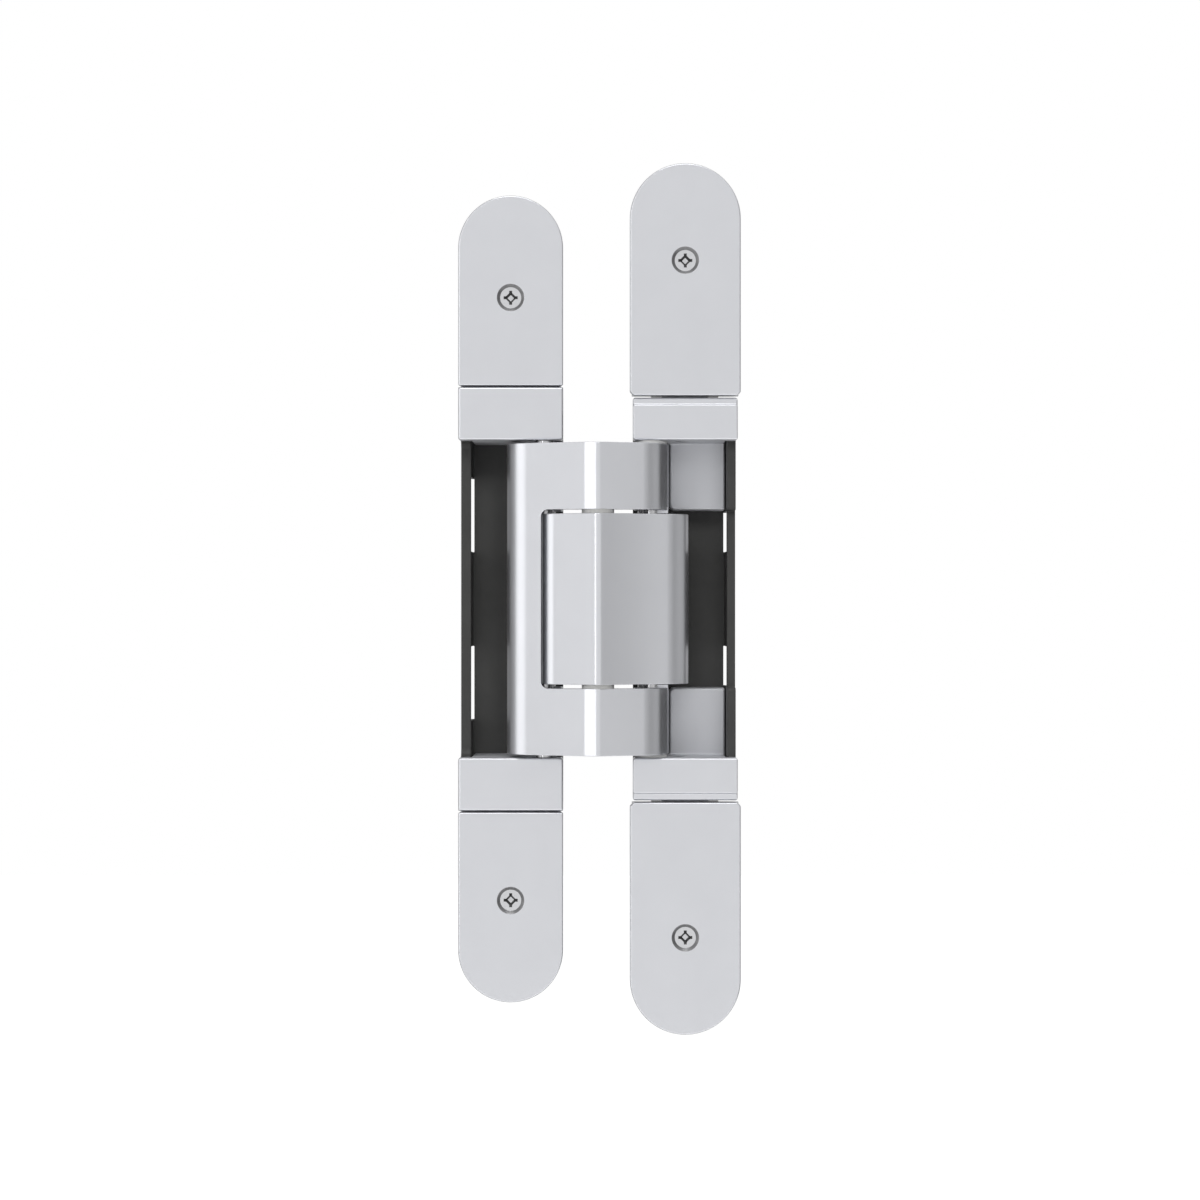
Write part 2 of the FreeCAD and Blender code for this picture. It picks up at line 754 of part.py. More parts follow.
def outer_arm(label):
    """C shaped arm: a full height spine at the door leaf, two bars to the frame leaf."""
    z = ("-bar_low", "bar_low")
    deep = ("-ridge_lift - 5", "housing_depth")
    gap = block(("centre_x - spine_edge", "centre_x + corner_reach + 5"), deep, z)
    gap = soften("Fillet", gap, "window_round", any_of(
        inward_at("centre_x - spine_edge", "bar_low"), inward_at("centre_x - spine_edge", "-bar_low")))
    room = rod("spine_room", "centre_x - guide_reach", "guide_depth", z)
    back = block(("centre_x - guide_reach - spine_room", "centre_x"), ("guide_depth", "housing_depth"), z)
    feet = []
    edge = "guide_offset - knuckle_radius + foot_inset"
    for _, sign in ENDS:
        feet.append(block((f"-({edge} + foot_width)", f"-({edge})"),
                          across("guide_depth", "foot_depth / 2"),
                          span(sign, "bar_low - foot_height", "bar_low + 1")))
    slope_end = ("-guide_reach - 0.92 * knuckle_radius", "guide_depth - 0.36 * knuckle_radius")
    body = cut(arm_solid(-1, "outer_top", "outer_ridge_lift", "shoulder", slope_end, "brow"),
               gap, room, back)
    all_z = ("-outer_top - 1", "outer_top + 1")
    name_node(cut(fuse(body, *feet),
                  rod("bush_radius", "door_x + pivot_offset", "pivot_depth", all_z),
                  rod("bush_radius", "centre_x", "-centre_lift", all_z),
                  rod("guide_radius", "-guide_offset", "guide_depth", all_z)), label)


def inner_arm(label):
    """Solid arm between the bars of the outer arm."""
    all_z = ("-inner_top - 1", "inner_top + 1")
    step_end = ("-short_reach", "guide_depth - 0.87 * knuckle_radius")
    name_node(cut(arm_solid(1, "inner_top", "ridge_lift", "short", step_end, "hollow"),
                  rod("bush_radius", "-pivot_offset", "pivot_depth", all_z),
                  rod("pin_radius", "centre_x", "-centre_lift", all_z),
                  rod("guide_radius", "door_x + guide_offset", "guide_depth", all_z)), label)


def bush(x, y, z, flange=None):
    """Plain bearing bush, with a flange disc where one is given as a stretch along Z."""
    parts = [rod("bush_radius", x, y, z)]
    if flange:
        parts.append(rod("washer_radius", x, y, flange))
    hole = rod("pin_radius + running_play", x, y, ("-outer_top - 5", "outer_top + 5"))
    return cut(fuse(*parts), hole)


def door_pivot_bushes(label):
    pair = []
    for _, sign in ENDS:
        pair.append(bush("door_x + pivot_offset", "pivot_depth", span(sign, "bar_low", "outer_top"),
                         span(sign, "outer_top", "opening_top - washer_play")))
    name_node(group(*pair), label)


def centre_bushes(label):
    pair = []
    for _, sign in ENDS:
        pair.append(bush("centre_x", "-centre_lift", span(sign, "bar_low", "outer_top"),
                         span(sign, "inner_top + washer_play", "bar_low")))
    name_node(group(*pair), label)


def frame_pivot_bushes(label):
    pair = []
    for _, sign in ENDS:
        pair.append(bush("-pivot_offset", "pivot_depth", span(sign, "inner_top / 2", "inner_top")))
    name_node(group(*pair), label)


def guide_pin(label, x):
    reach = "opening_top + track_height - tip_play"
    name_node(rod("guide_radius", x, "guide_depth", (f"-({reach})", reach)), label)


def guide_shoes(label, x):
    """Round slide shoes on the ends of a guide pin, inside the tracks."""
    shoes = []
    for _, sign in ENDS:
        start = "opening_top + track_height - tip_play - shoe_height"
        z = span(sign, start, f"{start} + shoe_height")
        shoes.append(cut(rod("shoe_radius", x, "guide_depth", z), rod("guide_radius", x, "guide_depth", z)))
    name_node(group(*shoes), label)


def guide_washers(label):
    washers = []
    for _, sign in ENDS:
        z = span(sign, "outer_top", "opening_top - washer_play")
        washers.append(cut(rod("washer_radius", "-guide_offset", "guide_depth", z),
                           rod("guide_radius", "-guide_offset", "guide_depth", z)))
    name_node(group(*washers), label)


housing("door_housing", "door_x", -1, "door_far", "door_housing_top", False)
back_screws("door_back_screws", "door_x")
for end, sign in ENDS:
    door_end(f"door_end_{end}", sign)
    cover(f"door_cover_{end}", "door_x", "half_width", sign, "door_cover_start", "door_cover_end",
          "door_screw_height", None)
cover_screws("door_cover_screws", "door_x", "door_screw_height")
pivot_pin("door_pivot_pin", "door_x", 1)

housing("frame_housing", "0", 1, "frame_far", "frame_housing_top", True)
back_screws("frame_back_screws", "0")
for end, sign in ENDS:
    frame_end(f"frame_end_{end}", sign)
    frame_plate(f"frame_plate_{end}", sign)
    cover(f"frame_cover_{end}", "0", "frame_cover_half", sign, "frame_cover_start",
          "frame_cover_end", "frame_screw_height", "frame_cover_corner")
cover_screws("frame_cover_screws", "0", "frame_screw_height")
clamp_screws("frame_clamp_screws")
height_screws("frame_height_screws")
pivot_pin("frame_pivot_pin", "0", -1)
pivot_spacers("frame_pivot_spacers")

outer_arm("outer_arm")
door_pivot_bushes("door_pivot_bushes")
centre_bushes("centre_bushes")
guide_pin("frame_guide_pin", "-guide_offset")
guide_shoes("frame_guide_shoes", "-guide_offset")
guide_washers("frame_guide_washers")

inner_arm("inner_arm")
name_node(rod("pin_radius", "centre_x", "-centre_lift", ("-outer_top", "outer_top")), "centre_pin")
frame_pivot_bushes("frame_pivot_bushes")
guide_pin("door_guide_pin", "door_x + guide_offset")
guide_shoes("door_guide_shoes", "door_x + guide_offset")

doc.recompute()
leaf_turn, arm_turn = swing_angles()
print(f"each leaf turns {leaf_turn:.4f} degrees on its arm, the arms {arm_turn:.4f} on the centre pin")

failed = [thing.Name for thing in doc.Objects if {"Invalid", "Error"} & set(thing.State)]
if failed:
    raise SystemExit(f"these objects failed: {failed}")
os.makedirs("parts", exist_ok=True)
for label, node in nodes.items():
    shape = node.Shape
    if shape.isNull() or not shape.isValid() or not shape.Solids:
        raise SystemExit(f"{label} has no valid shape")
    shape.exportStep(f"parts/{label}.step")
    print(f"{label}: {len(shape.Solids)} solid(s), {shape.Volume:.1f} mm3")
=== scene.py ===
from math import radians

import bmesh
import bpy
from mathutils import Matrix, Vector
from mathutils.geometry import intersect_line_line_2d


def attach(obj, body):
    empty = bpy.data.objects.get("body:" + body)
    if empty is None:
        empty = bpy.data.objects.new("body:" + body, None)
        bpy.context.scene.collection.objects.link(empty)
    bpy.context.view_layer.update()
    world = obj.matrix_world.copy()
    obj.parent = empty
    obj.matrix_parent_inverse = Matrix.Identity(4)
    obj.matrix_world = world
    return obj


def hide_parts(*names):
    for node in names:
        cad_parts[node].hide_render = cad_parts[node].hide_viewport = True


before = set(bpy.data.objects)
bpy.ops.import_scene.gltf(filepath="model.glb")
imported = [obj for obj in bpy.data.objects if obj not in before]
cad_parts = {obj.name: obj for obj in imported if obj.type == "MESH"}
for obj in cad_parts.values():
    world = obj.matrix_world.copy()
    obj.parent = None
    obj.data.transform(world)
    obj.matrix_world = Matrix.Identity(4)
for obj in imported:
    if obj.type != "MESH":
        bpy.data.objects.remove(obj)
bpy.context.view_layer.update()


# Studio: the hinge hangs over a wide pale floor in an even white room, open flat.
# A tall soft lamp stands left of the camera, others far left, far right, above and in front.
# A tunnel behind it and three cards beside it glow dimly and are seen in the metal only, as painted
# reflections of a darker room round it.
centre_x = -0.026
floor_size = 12.0
floor_height = -0.60
floor_colour = (0.85, 0.85, 0.85, 1.0)
floor_lift = 0.96
room_strength = 0.13


def only(*objects):
    """Selects these objects and nothing else, the first one active."""
    bpy.ops.object.select_all(action="DESELECT")
    for one in objects:
        one.select_set(True)
    bpy.context.view_layer.objects.active = objects[0]


def seen_rays(parts, wires):
    """One where a ray comes from the camera, a glossy surface or a clear one."""
    ray = parts.new("ShaderNodeLightPath")
    first = parts.new("ShaderNodeMath")
    first.operation = "MAXIMUM"
    wires.new(ray.outputs["Is Camera Ray"], first.inputs[0])
    wires.new(ray.outputs["Is Glossy Ray"], first.inputs[1])
    second = parts.new("ShaderNodeMath")
    second.operation = "MAXIMUM"
    wires.new(first.outputs[0], second.inputs[0])
    wires.new(ray.outputs["Is Transmission Ray"], second.inputs[1])
    return second.outputs[0]


floor_sheet = bpy.data.materials.new("studio_floor")
floor_sheet.use_nodes = True
parts, wires = floor_sheet.node_tree.nodes, floor_sheet.node_tree.links
paper = parts["Principled BSDF"]
paper.inputs["Base Color"].default_value = floor_colour
paper.inputs["Roughness"].default_value = 0.9
paper.inputs["Specular IOR Level"].default_value = 0.0
paper.inputs["Emission Color"].default_value = (1.0, 1.0, 1.0, 1.0)
lift = parts.new("ShaderNodeMath")
lift.operation = "MULTIPLY"
lift.inputs[1].default_value = floor_lift
wires.new(seen_rays(parts, wires), lift.inputs[0])
wires.new(lift.outputs[0], paper.inputs["Emission Strength"])

bpy.ops.object.select_all(action="DESELECT")
bpy.ops.mesh.primitive_plane_add(size=floor_size, location=(0.0, 0.0, floor_height))
floor = bpy.context.object
floor.name = "studio_floor"
bpy.ops.object.transform_apply(location=True, rotation=True, scale=True)
floor.data.materials.append(floor_sheet)

world = bpy.data.worlds.new("studio_air")
bpy.context.scene.world = world
world.use_nodes = True
parts, wires = world.node_tree.nodes, world.node_tree.links
parts.clear()
room_light = parts.new("ShaderNodeBackground")
room_light.inputs["Strength"].default_value = room_strength
room_light.inputs["Color"].default_value = (1.0, 1.0, 1.0, 1.0)
seen_white = parts.new("ShaderNodeBackground")
seen_white.inputs["Color"].default_value = (1.0, 1.0, 1.0, 1.0)
either = parts.new("ShaderNodeMixShader")
air_out = parts.new("ShaderNodeOutputWorld")
wires.new(seen_rays(parts, wires), either.inputs["Fac"])
wires.new(room_light.outputs[0], either.inputs[1])
wires.new(seen_white.outputs[0], either.inputs[2])
wires.new(either.outputs[0], air_out.inputs["Surface"])


def soft_lamp(name, place_at, width, height, watts, mirrored=True):
    """Soft box that faces the middle of the hinge, its reflection left out where not mirrored."""
    lamp = bpy.data.lights.new(name, "AREA")
    lamp.shape = "RECTANGLE"
    lamp.size = width
    lamp.size_y = height
    lamp.energy = watts
    holder = bpy.data.objects.new(name, lamp)
    bpy.context.scene.collection.objects.link(holder)
    holder.location = place_at
    toward = Vector((centre_x, 0.0, 0.0)) - Vector(place_at)
    holder.rotation_euler = toward.to_track_quat("-Z", "Y").to_euler()
    holder.visible_glossy = mirrored


soft_lamp("lamp_near", (-0.76, -1.15, 0.14), 0.24, 1.10, 2.0)
soft_lamp("lamp_left", (-1.12, -0.30, 0.10), 0.80, 0.60, 1.15)
soft_lamp("lamp_right", (1.10, -0.35, 0.10), 0.25, 0.60, 1.0)
soft_lamp("lamp_above", (centre_x, -0.45, 1.10), 0.70, 0.50, 3.5)
soft_lamp("lamp_front", (centre_x, -1.15, 0.50), 0.50, 0.30, 5.0, mirrored=False)


def reflected_only(card, glow_left, glow_right):
    """Makes a glowing card that the metal mirrors, a painted reflection, but that casts no shadow and isn't
    seen itself.

    Its glow runs from the one strength at its left end to the other at its right end.
    """
    paint = bpy.data.materials.new(card.name)
    paint.use_nodes = True
    parts, wires = paint.node_tree.nodes, paint.node_tree.links
    face = parts["Principled BSDF"]
    face.inputs["Base Color"].default_value = (0.03, 0.03, 0.03, 1.0)
    face.inputs["Roughness"].default_value = 0.9
    face.inputs["Emission Color"].default_value = (1.0, 1.0, 1.0, 1.0)
    where = parts.new("ShaderNodeTexCoord")
    axes = parts.new("ShaderNodeSeparateXYZ")
    ramp = parts.new("ShaderNodeMapRange")
    ramp.inputs["From Min"].default_value = min(corner.co.x for corner in card.data.vertices)
    ramp.inputs["From Max"].default_value = max(corner.co.x for corner in card.data.vertices)
    ramp.inputs["To Min"].default_value = glow_left
    ramp.inputs["To Max"].default_value = glow_right
    wires.new(where.outputs["Object"], axes.inputs["Vector"])
    wires.new(axes.outputs["X"], ramp.inputs["Value"])
    wires.new(ramp.outputs["Result"], face.inputs["Emission Strength"])
    card.data.materials.append(paint)
    card.visible_camera = False
    card.visible_diffuse = False
    card.visible_transmission = False
    card.visible_shadow = False


# Painted reflection: a dim glowing tunnel behind the hinge, seen only in the metal.
tunnel_radius = 0.55
tunnel_front = 0.05
tunnel_back = 1.60
bpy.ops.object.select_all(action="DESELECT")
bpy.ops.mesh.primitive_cylinder_add(vertices=64, radius=tunnel_radius, depth=tunnel_back - tunnel_front,
                                    end_fill_type="NOTHING", rotation=(radians(90.0), 0.0, 0.0),
                                    location=(centre_x, (tunnel_back + tunnel_front) / 2, 0.0))
tunnel = bpy.context.object
tunnel.name = "studio_tunnel"
bpy.ops.object.transform_apply(location=True, rotation=True, scale=True)
reflected_only(tunnel, 0.24, 0.50)

# Painted reflections: three dim glowing cards, two right of the hinge and one left of it.
for name, place_at, turn, width, near, far in (
        ("studio_grey_card", (0.706, -0.431, 0.0), 59.5, 0.41, 0.54, 0.28),
        ("studio_side_card", (0.821, -0.067, 0.0), 85.5, 0.38, 0.34, 0.42),
        ("studio_left_card", (-0.648, -0.580, 0.0), -47.0, 0.21, 0.52, 0.52)):
    bpy.ops.object.select_all(action="DESELECT")
    bpy.ops.mesh.primitive_plane_add(size=1.0, location=place_at,
                                     rotation=(radians(90.0), 0.0, radians(turn)))
    reflection_card = bpy.context.object
    reflection_card.name = name
    bpy.ops.transform.resize(value=(width, width, 1.0))
    bpy.ops.object.transform_apply(location=True, rotation=True, scale=True)
    reflected_only(reflection_card, near, far)

camera_place = (-0.0254, -0.95, -0.0003)
camera_lens = 95.8
eye = bpy.data.cameras.new("photo_camera")
eye.sensor_width = 36.0
eye.lens = camera_lens
camera = bpy.data.objects.new("photo_camera", eye)
bpy.context.scene.collection.objects.link(camera)
camera.location = camera_place
camera.rotation_euler = (radians(90.0), 0.0, 0.0)
bpy.context.scene.camera = camera
bpy.context.scene.view_settings.view_transform = "Standard"


# Housings: two dark coated cast boxes that sit in the pockets of the door and the frame.
# Each has windows in its walls and a coat with a fine even grain.
housing_edge = 0.0003
dark_deep = (0.052, 0.052, 0.051, 1.0)
dark_light = (0.076, 0.076, 0.074, 1.0)


def surface_grain():
    """Fine grain and slow clouds that every metal finish here shows in its own strength."""
    group = bpy.data.node_groups.new("surface_grain", "ShaderNodeTree")
    sockets = group.interface
    for name, value in (("Grain scale", 2500.0), ("Cloud scale", 90.0), ("Depth", 0.05)):
        sockets.new_socket(name, in_out="INPUT", socket_type="NodeSocketFloat").default_value = value
    sockets.new_socket("Clouds", in_out="OUTPUT", socket_type="NodeSocketFloat")
    sockets.new_socket("Grain", in_out="OUTPUT", socket_type="NodeSocketFloat")
    sockets.new_socket("Normal", in_out="OUTPUT", socket_type="NodeSocketVector")
    parts, wires = group.nodes, group.links
    inside = parts.new("NodeGroupInput")
    outside = parts.new("NodeGroupOutput")
    where = parts.new("ShaderNodeTexCoord")
    grain = parts.new("ShaderNodeTexNoise")
    grain.inputs["Detail"].default_value = 3.0
    grain.inputs["Roughness"].default_value = 0.6
    clouds = parts.new("ShaderNodeTexNoise")
    clouds.inputs["Detail"].default_value = 2.0
    bump = parts.new("ShaderNodeBump")
    bump.inputs["Distance"].default_value = 0.0001
    wires.new(where.outputs["Object"], grain.inputs["Vector"])
    wires.new(where.outputs["Object"], clouds.inputs["Vector"])
    wires.new(inside.outputs["Grain scale"], grain.inputs["Scale"])
    wires.new(inside.outputs["Cloud scale"], clouds.inputs["Scale"])
    wires.new(inside.outputs["Depth"], bump.inputs["Strength"])
    wires.new(grain.outputs["Fac"], bump.inputs["Height"])
    wires.new(clouds.outputs["Fac"], outside.inputs["Clouds"])
    wires.new(grain.outputs["Fac"], outside.inputs["Grain"])
    wires.new(bump.outputs["Normal"], outside.inputs["Normal"])
    return group


grain_group = surface_grain()


def metal_finish(name, deep, light, metallic, rough_low, rough_high, grain_scale, depth):
    """Finish whose tone and gloss vary a little over the surface."""
    material = bpy.data.materials.new(name)
    material.use_nodes = True
    parts, wires = material.node_tree.nodes, material.node_tree.links
    skin = parts["Principled BSDF"]
    skin.inputs["Metallic"].default_value = metallic
    grain = parts.new("ShaderNodeGroup")
    grain.node_tree = grain_group
    grain.inputs["Grain scale"].default_value = grain_scale
    grain.inputs["Depth"].default_value = depth
    tone = parts.new("ShaderNodeMix")
    tone.data_type = "RGBA"
    tone.inputs["A"].default_value = deep
    tone.inputs["B"].default_value = light
    gloss = parts.new("ShaderNodeMapRange")
    gloss.inputs["To Min"].default_value = rough_low
    gloss.inputs["To Max"].default_value = rough_high
    wires.new(grain.outputs["Clouds"], tone.inputs["Factor"])
    wires.new(tone.outputs["Result"], skin.inputs["Base Color"])
    wires.new(grain.outputs["Grain"], gloss.inputs["Value"])
    wires.new(gloss.outputs["Result"], skin.inputs["Roughness"])
    wires.new(grain.outputs["Normal"], skin.inputs["Normal"])
    return material


fold_angle = radians(28.0)
crease_angle = radians(5.0)
flat_angle = radians(0.4)
same_place = 0.000001
short_line = 0.003
running_on = -0.75
room_share = 0.42
widest_room = 0.0018
fine_share = 0.16
wrong_area = 2e-8
crossing_reach = 0.0012
narrowing = 0.6
most_attempts = 14


def squareness(line):
    """How squarely a line across a flat face leaves the corners at its ends, short ones less so."""
    best = min(1.0, line.calc_length() / short_line)
    for end in line.verts:
        along = (line.other_vert(end).co - end.co).normalized()
        for other in end.link_edges:
            if other != line and other.calc_face_angle(0.0) > crease_angle:
                onward = (other.other_vert(end).co - end.co).normalized()
                best = min(best, along.cross(onward).length)
    return best


def merge_flat(shape):
    """Joins the triangles of each flat face, so that only square lines are left round its holes."""
    flat = [line for line in shape.edges
            if len(line.link_faces) == 2 and line.calc_face_angle(1.0) < flat_angle]
    for line in sorted(flat, key=squareness):
        if line.is_valid and len(line.link_faces) == 2:
            bmesh.utils.face_join(list(line.link_faces))


def room_beside(line, end):
    """How wide an edge may be rounded at one end before it meets the next feature there."""
    along = (line.other_vert(end).co - end.co).normalized()
    room = widest_room
    for other in end.link_edges:
        onward = (other.other_vert(end).co - end.co).normalized()
        if other != line and along.dot(onward) > running_on:
            room = min(room, room_share * other.calc_length())
    return room


def edge_chains(sharp):
    """Groups the sharp edges that run on into each other, as each group gets one width."""
    left = dict.fromkeys(sharp)
    for first in sharp:
        if first not in left:
            continue
        del left[first]
        chain = [first]
        for line in chain:
            for end in line.verts:
                along = (line.other_vert(end).co - end.co).normalized()
                for other in end.link_edges:
                    onward = (other.other_vert(end).co - end.co).normalized()
                    if other in left and along.dot(onward) < running_on:
                        del left[other]
                        chain.append(other)
        yield chain


def crossed_places(mesh):
    """Corners near which the outline of a face runs over itself, so that it would fill wrongly."""
    mesh.calc_loop_triangles()
    filled = [0.0] * len(mesh.polygons)
    for triangle in mesh.loop_triangles:
        filled[triangle.polygon_index] += triangle.area
    places = []
    for face in mesh.polygons:
        if abs(filled[face.index] - face.area) < wrong_area:
            continue
        across = face.normal.orthogonal().normalized()
        up = face.normal.cross(across)
        corners = [mesh.vertices[index].co for index in face.vertices]
        flat = [Vector((corner.dot(across), corner.dot(up))) for corner in corners]
        count = len(flat)
        for first in range(count - 2):
            for second in range(first + 2, count - (first == 0)):
                if intersect_line_line_2d(flat[first], flat[first + 1], flat[second],
                                          flat[(second + 1) % count]):
                    places.append(corners[first].copy())
    return places


def gap_to(place, start, end):
    """Distance from a place to the straight line between two corners."""
    run = end - start
    share = max(0.0, min(1.0, (place - start).dot(run) / run.length_squared)) if run.length else 0.0
    return (start + share * run - place).length


def made_from(node_name, piece_name, edge, steps=3, fine=None):
    """Copy of a CAD node with its triangles merged to whole faces and its edges rounded.

    Edges that pass the test called fine are rounded by a sixth of the size only. Where rounded
    edges would meet, they are made narrower until no face crosses itself.
    """
    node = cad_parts[node_name]
    piece = bpy.data.objects.new(piece_name, node.data.copy())
    bpy.context.scene.collection.objects.link(piece)
    piece.data.materials.clear()
    only(piece)
    bpy.ops.object.mode_set(mode="EDIT")
    bpy.ops.mesh.select_all(action="SELECT")
    bpy.ops.mesh.remove_doubles(threshold=same_place)
    merge_flat(bmesh.from_edit_mesh(piece.data))
    bmesh.update_edit_mesh(piece.data)
    bpy.ops.mesh.dissolve_limited(angle_limit=flat_angle)
    shape = bmesh.from_edit_mesh(piece.data)
    share = shape.edges.layers.float.new("bevel_weight_edge")
    group = shape.edges.layers.int.new("group")
    sharp = [line for line in shape.edges if line.calc_face_angle(0.0) > fold_angle]
    for number, chain in enumerate(edge_chains(sharp), start=1):
        room = min(room_beside(line, end) for line in chain for end in line.verts)
        middle = (chain[0].verts[0].co + chain[0].verts[1].co) / 2
        for line in chain:
            line[share] = fine_share if fine and fine(middle) else min(1.0, room / edge)
            line[group] = number
    bpy.ops.object.mode_set(mode="OBJECT")
    sharp_mesh = piece.data
    for attempt in range(most_attempts):
        piece.data = sharp_mesh.copy()
        rounding = piece.modifiers.new("edges", "BEVEL")
        rounding.width = edge
        rounding.segments = steps
        rounding.limit_method = "WEIGHT"
        rounding.use_clamp_overlap = False
        rounding.loop_slide = False
        bpy.ops.object.modifier_apply(modifier="edges")
        places = crossed_places(piece.data)
        if not places:
            break
        shares = sharp_mesh.attributes["bevel_weight_edge"].data
        groups = sharp_mesh.attributes["group"].data
        tight = set()
        for line in sharp_mesh.edges:
            start, end = (sharp_mesh.vertices[index].co for index in line.vertices)
            nearest = min(gap_to(place, start, end) for place in places)
            if groups[line.index].value and nearest < crossing_reach:
                tight.add(groups[line.index].value)
        for line in sharp_mesh.edges:
            if groups[line.index].value in tight:
                shares[line.index].value *= narrowing
    bpy.ops.object.shade_smooth_by_angle(angle=fold_angle)
    flatten = piece.modifiers.new("flat_faces", "WEIGHTED_NORMAL")
    flatten.keep_sharp = True
    flatten.weight = 100
    bpy.ops.object.modifier_apply(modifier="flat_faces")
    return piece


def fit(piece, body, slot, finish, *node_names):
    """Gives a finished piece its body, its material and the nodes it stands for. The slot it is given is not
    used.
    """
    piece.data.materials.append(finish)
    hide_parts(*node_names)
    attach(piece, body)


dark_coat = metal_finish("dark_coat", dark_deep, dark_light, 0.0, 0.42, 0.55, 3200.0, 0.12)
dark_coat.node_tree.nodes["Principled BSDF"].inputs["Specular IOR Level"].default_value = 0.25
fit(made_from("door_housing", "door_housing_shell", housing_edge), "door_leaf", "dark_housing",
    dark_coat, "door_housing")
fit(made_from("frame_housing", "frame_housing_shell", housing_edge), "frame_leaf", "dark_housing",
    dark_coat, "frame_housing")


# End castings: silver blocks that close each housing at its ends and carry the covers.
# They are die cast and coated, with a fine satin grain and softly rounded edges.
casting_edge = 0.0007
silver_deep = (0.614, 0.622, 0.650, 1.0)
silver_light = (0.648, 0.656, 0.684, 1.0)

satin_casting = metal_finish("satin_casting", silver_deep, silver_light, 0.85, 0.30, 0.38, 2600.0, 0.06)
raw_casting = metal_finish("raw_casting", silver_deep, silver_light, 0.85, 0.55, 0.65, 2600.0, 0.06)
coated_depth = 0.0035
for leaf in ("door", "frame"):
    for which in ("top", "bottom"):
        casting = made_from(f"{leaf}_end_{which}", f"{leaf}_end_casting_{which}", casting_edge)
        fit(casting, f"{leaf}_leaf", "silver_casting", satin_casting, f"{leaf}_end_{which}")
        casting.data.materials.append(raw_casting)
        for face in casting.data.polygons:
            if face.center.y > coated_depth:
                face.material_index = 1


# Covers: thin silver plates with a half round end, one screw each, over the end castings.
# Their coat is the castings' own, a little smoother. The screws' seats get painted shade: a darker metal
# that stands in for the shadow in the gap round each head.
cover_edge = 0.0005
satin_cover = metal_finish("satin_cover", silver_deep, silver_light, 0.85, 0.28, 0.36, 3000.0, 0.05)
cover_screws = {"door": (-0.052, 0.0897), "frame": (0.0, 0.1008)}
hole_room = 0.006
painted_shade_seat = metal_finish("painted_shade_seat", (0.20, 0.20, 0.205, 1.0), (0.26, 0.26, 0.265, 1.0), 0.9,
                         0.35, 0.45, 2500.0, 0.05)
for leaf, (x, z) in cover_screws.items():
    for which, side in (("top", 1.0), ("bottom", -1.0)):
        hole = Vector((x, side * z))
        plate = made_from(f"{leaf}_cover_{which}", f"{leaf}_cover_plate_{which}", cover_edge,
                          fine=lambda middle: (middle.xz - hole).length < hole_room)
        fit(plate, f"{leaf}_leaf", "silver_cover", satin_cover, f"{leaf}_cover_{which}")
        # Painted shade: the seat's cone faces round each hole take the darker finish.
        plate.data.materials.append(painted_shade_seat)
        for face in plate.data.polygons:
            if (face.center.xz - hole).length < hole_room and abs(face.normal.y) < 0.95:
                face.material_index = 1


# Arms: two die cast arms that cross on the centre pin, the outer one C shaped round the inner.
# Their fronts have a ridge over the centre pin, and their edges are rounded off.
arm_edge = 0.0006
satin_arm = metal_finish("satin_arm", silver_deep, silver_light, 0.9, 0.28, 0.35, 2600.0, 0.05)
fit(made_from("outer_arm", "outer_arm_casting", arm_edge), "outer_arm", "silver_arm", satin_arm, "outer_arm")
fit(made_from("inner_arm", "inner_arm_casting", arm_edge), "inner_arm", "silver_arm", satin_arm, "inner_arm")


# Cover screws: countersunk machine screws of zinc plated steel, one in each cover.
# Each head has a cross recess with four small marks between its wings, and a rolled thread. The recess's
# walls and outer floors are painted dark as shade.
head_front = 0.0009
head_radius = 0.00315
head_rim = 0.00015
screw_end = 0.0089
thread_crest = 0.0015
thread_root = 0.00125
thread_pitch = 0.0005
diamond_reach = 0.00185
diamond_floor_reach = 0.00095
recess_depth = 0.0015
wing_reach = 0.0023
wing_width = 0.00095
recess_lift = 0.00005
wing_floor_share = 0.45
tip_share = 0.75
mark_place = 0.0017
mark_size = 0.00035
mark_depth = 0.00012
tiny = 0.00001
along_y = (radians(90.0), 0.0, 0.0)
thread_turn = ((0.3, thread_crest), (0.1, thread_crest), (0.3, thread_root), (0.3, thread_root))


def pick_faces(piece, test):
    """In edit mode, selects the faces whose middles pass the test and nothing else."""
    bpy.ops.mesh.select_mode(type="FACE")
    bpy.ops.mesh.select_all(action="DESELECT")
    shape = bmesh.from_edit_mesh(piece.data)
    for face in shape.faces:
        face.select_set(test(face.calc_center_median()))
    bmesh.update_edit_mesh(piece.data)


def grow(step, scale, middle):
    """Extrudes the picked face by a step along Y and scales the new ring about its middle."""
    bpy.ops.mesh.extrude_region_move(TRANSFORM_OT_translate={"value": (0.0, step, 0.0)})
    bpy.ops.transform.resize(value=(scale, 1.0, scale), center_override=middle)


def take_out(piece, tool):
    """Cuts one closed shape out of another and deletes the tool."""
    only(piece)
    cutting = piece.modifiers.new("cutting", "BOOLEAN")
    cutting.operation = "DIFFERENCE"
    cutting.solver = "EXACT"
    cutting.object = tool
    bpy.ops.object.modifier_apply(modifier="cutting")
    bpy.data.objects.remove(tool, do_unlink=True)


